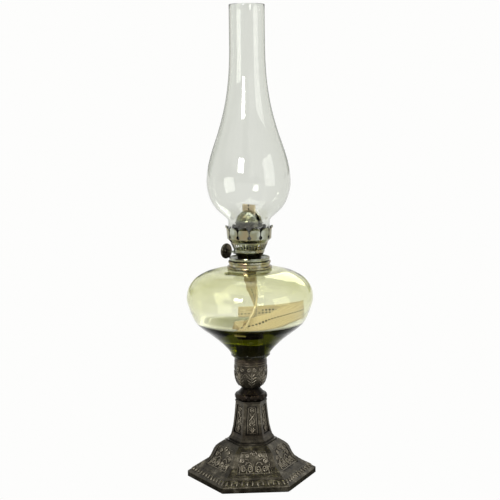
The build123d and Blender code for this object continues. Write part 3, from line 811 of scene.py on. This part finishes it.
def make_knop_lobes():
    """Rounded lobes of the knop's bead, proud of the casting between its grooves."""
    shape = bmesh.new()
    lobes = 14
    bead = (2.2 * MM, 2.6 * MM, 2.9 * MM)
    out, rise = 14.2, 84.2
    for lobe in range(lobes):
        angle = (lobe + 0.5) * 2 * math.pi / lobes
        made = bmesh.ops.create_uvsphere(shape, u_segments=16, v_segments=10, radius=1)
        bmesh.ops.scale(shape, verts=made["verts"], vec=bead)
        bmesh.ops.translate(shape, verts=made["verts"], vec=(out * MM, 0, rise * MM))
        bmesh.ops.rotate(
            shape, verts=made["verts"], cent=(0, 0, 0), matrix=Matrix.Rotation(angle, 3, "Z")
        )
    settle(mark_wear_and_highlight(shade(keep_mesh(shape, "knop_lobes"))), "stand", "cast_metal", CAST)


def make_knob_emboss():
    """Stamped ribs between a hub ring and a rim ring, on both faces of the knob."""
    turn = Matrix.Rotation(SHAFT_SIDE, 3, "Z")

    def on_face(out, across, rise):
        return turn @ Vector((out, SHAFT_ASIDE + across, SHAFT_RISE + rise)) * MM

    ribs = 16
    lines = []
    for out, first, last in ((26.2, 2.9, 6.4), (27.75, 3.9, 6.1)):
        for rib in range(ribs):
            angle = rib * 2 * math.pi / ribs
            across, rise = math.cos(angle), math.sin(angle)
            lines.append([
                (on_face(out, r * across, r * rise), swell)
                for r, swell in ((first, 0.2), ((first + last) / 2, 0.42), (last, 0.5))
            ])
        for ring, swell in ((first - 0.4, 0.4), (last + 0.6, 0.42)):
            lines.append([
                (on_face(out, ring * math.cos(a), ring * math.sin(a)), swell)
                for a in (step * math.pi / 24 for step in range(49))
            ])
    settle(mark_wear_and_highlight(shade(ridges("knob_emboss", lines), 60)), "knob", "knob_metal", KNOB)


# ---------------------------------------------------------------- wick


WICK_WIDTH = 15.9
WICK_THICK = 1.7


def make_wick():
    """One woven tape: straight through the burner, then twisting down into the font,
    folded at the bottom, up to the right wall, folded again and back to the left."""
    _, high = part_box("wick")
    top = high.z / MM
    face = Vector((math.cos(SHAFT_SIDE), math.sin(SHAFT_SIDE), 0))
    route = [
        ((0, 0, top), face), ((0, 0, 262), face), ((0, 0, 245), face), ((0, 0, 228), face),
        ((0, 0, 213), face),
        ((0.8, -1.0, 203), Vector((-0.66, 0.75, 0))),
        ((3.2, -5.0, 193), Vector((-0.42, 0.9, 0.05))),
        ((5.0, -11.0, 184), Vector((-0.15, 0.98, 0.05))),
        ((4.8, -17.5, 177), Vector((0.15, 0.97, -0.05))),
        ((1.5, -24.5, 171), Vector((0.32, 0.93, -0.18))),
        ((-4.0, -31.5, 166), Vector((0.3, 0.93, -0.2))),
        ((-9.2, -36.2, 163.4), Vector((0.15, 0.98, -0.05))),
        ((-12.0, -38.4, 162.8), Vector((0, 0.99, 0.08))),
        ((-10.4, -39.8, 163.2), Vector((-0.1, 0.95, 0.25))),
        ((-3.0, -39.8, 164.4), Vector((-0.15, 0.85, 0.5))),
        ((8, -36.5, 166.2), Vector((-0.18, 0.64, 0.74))),
        ((20, -30.0, 168.8), Vector((-0.2, 0.52, 0.83))),
        ((34, -21.6, 171.2), Vector((-0.2, 0.45, 0.87))),
        ((46, -12.8, 172.9), Vector((-0.15, 0.45, 0.87))),
        ((52.0, -6.6, 173.6), Vector((-0.08, 0.5, 0.86))),
        ((53.4, -0.5, 173.2), Vector((0, 0.6, 0.8))),
        ((50.8, 5.6, 172.0), Vector((0.02, 0.75, 0.66))),
        ((38, 12.2, 170.2), Vector((0, 0.85, 0.52))),
        ((20, 17.2, 168.4), Vector((0, 0.9, 0.42))),
        ((4, 19.8, 167.3), Vector((0, 0.92, 0.38))),
        ((-11, 20.8, 166.8), Vector((-0.1, 0.92, 0.36))),
    ]
    spans = 8
    middle = rounded([p for p, _ in route], spans)
    cross = rounded([tuple(w) for _, w in route], spans)
    columns = 8
    shape = bmesh.new()
    layer = shape.loops.layers.uv.new("weave")
    grid = bmesh.ops.create_grid(
        shape, x_segments=columns, y_segments=len(middle) - 1, size=1
    )["verts"]
    lengths = [0.0]
    for a, b in zip(middle, middle[1:]):
        lengths.append(lengths[-1] + (b - a).length)
    flat_place = {}
    for vert in grid:
        column = (vert.co.x + 1) / 2 - 0.5
        row = round((vert.co.y + 1) / 2 * (len(middle) - 1))
        ahead = middle[min(row + 1, len(middle) - 1)] - middle[max(row - 1, 0)]
        way = cross[row] - ahead * (cross[row].dot(ahead) / ahead.length_squared)
        vert.co = (middle[row] + way.normalized() * column * WICK_WIDTH) * MM
        flat_place[vert] = (column * WICK_WIDTH, lengths[row])
    for corner in (loop for part in shape.faces for loop in part.loops):
        corner[layer].uv = flat_place[corner.vert]
    piece = keep_mesh(shape, "wick_tape")
    body = piece.modifiers.new("body", "SOLIDIFY")
    body.thickness = WICK_THICK * MM
    body.offset = 0
    soft = piece.modifiers.new("soft edges", "BEVEL")
    soft.width = 0.4 * MM
    soft.segments = 2
    for part in piece.data.polygons:
        part.use_smooth = True
    settle(piece, None, "wick_cotton", COTTON, "wick", "wick_tail")
    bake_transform(piece)


# ---------------------------------------------------------------- build

make_camera()
make_studio()
dress_nodes()
make_chimney()
make_font()
make_foot_relief()
make_rim_tongues()
make_pillar_relief()
make_cup_relief()
make_knop_lobes()
make_knob_emboss()
make_wick()
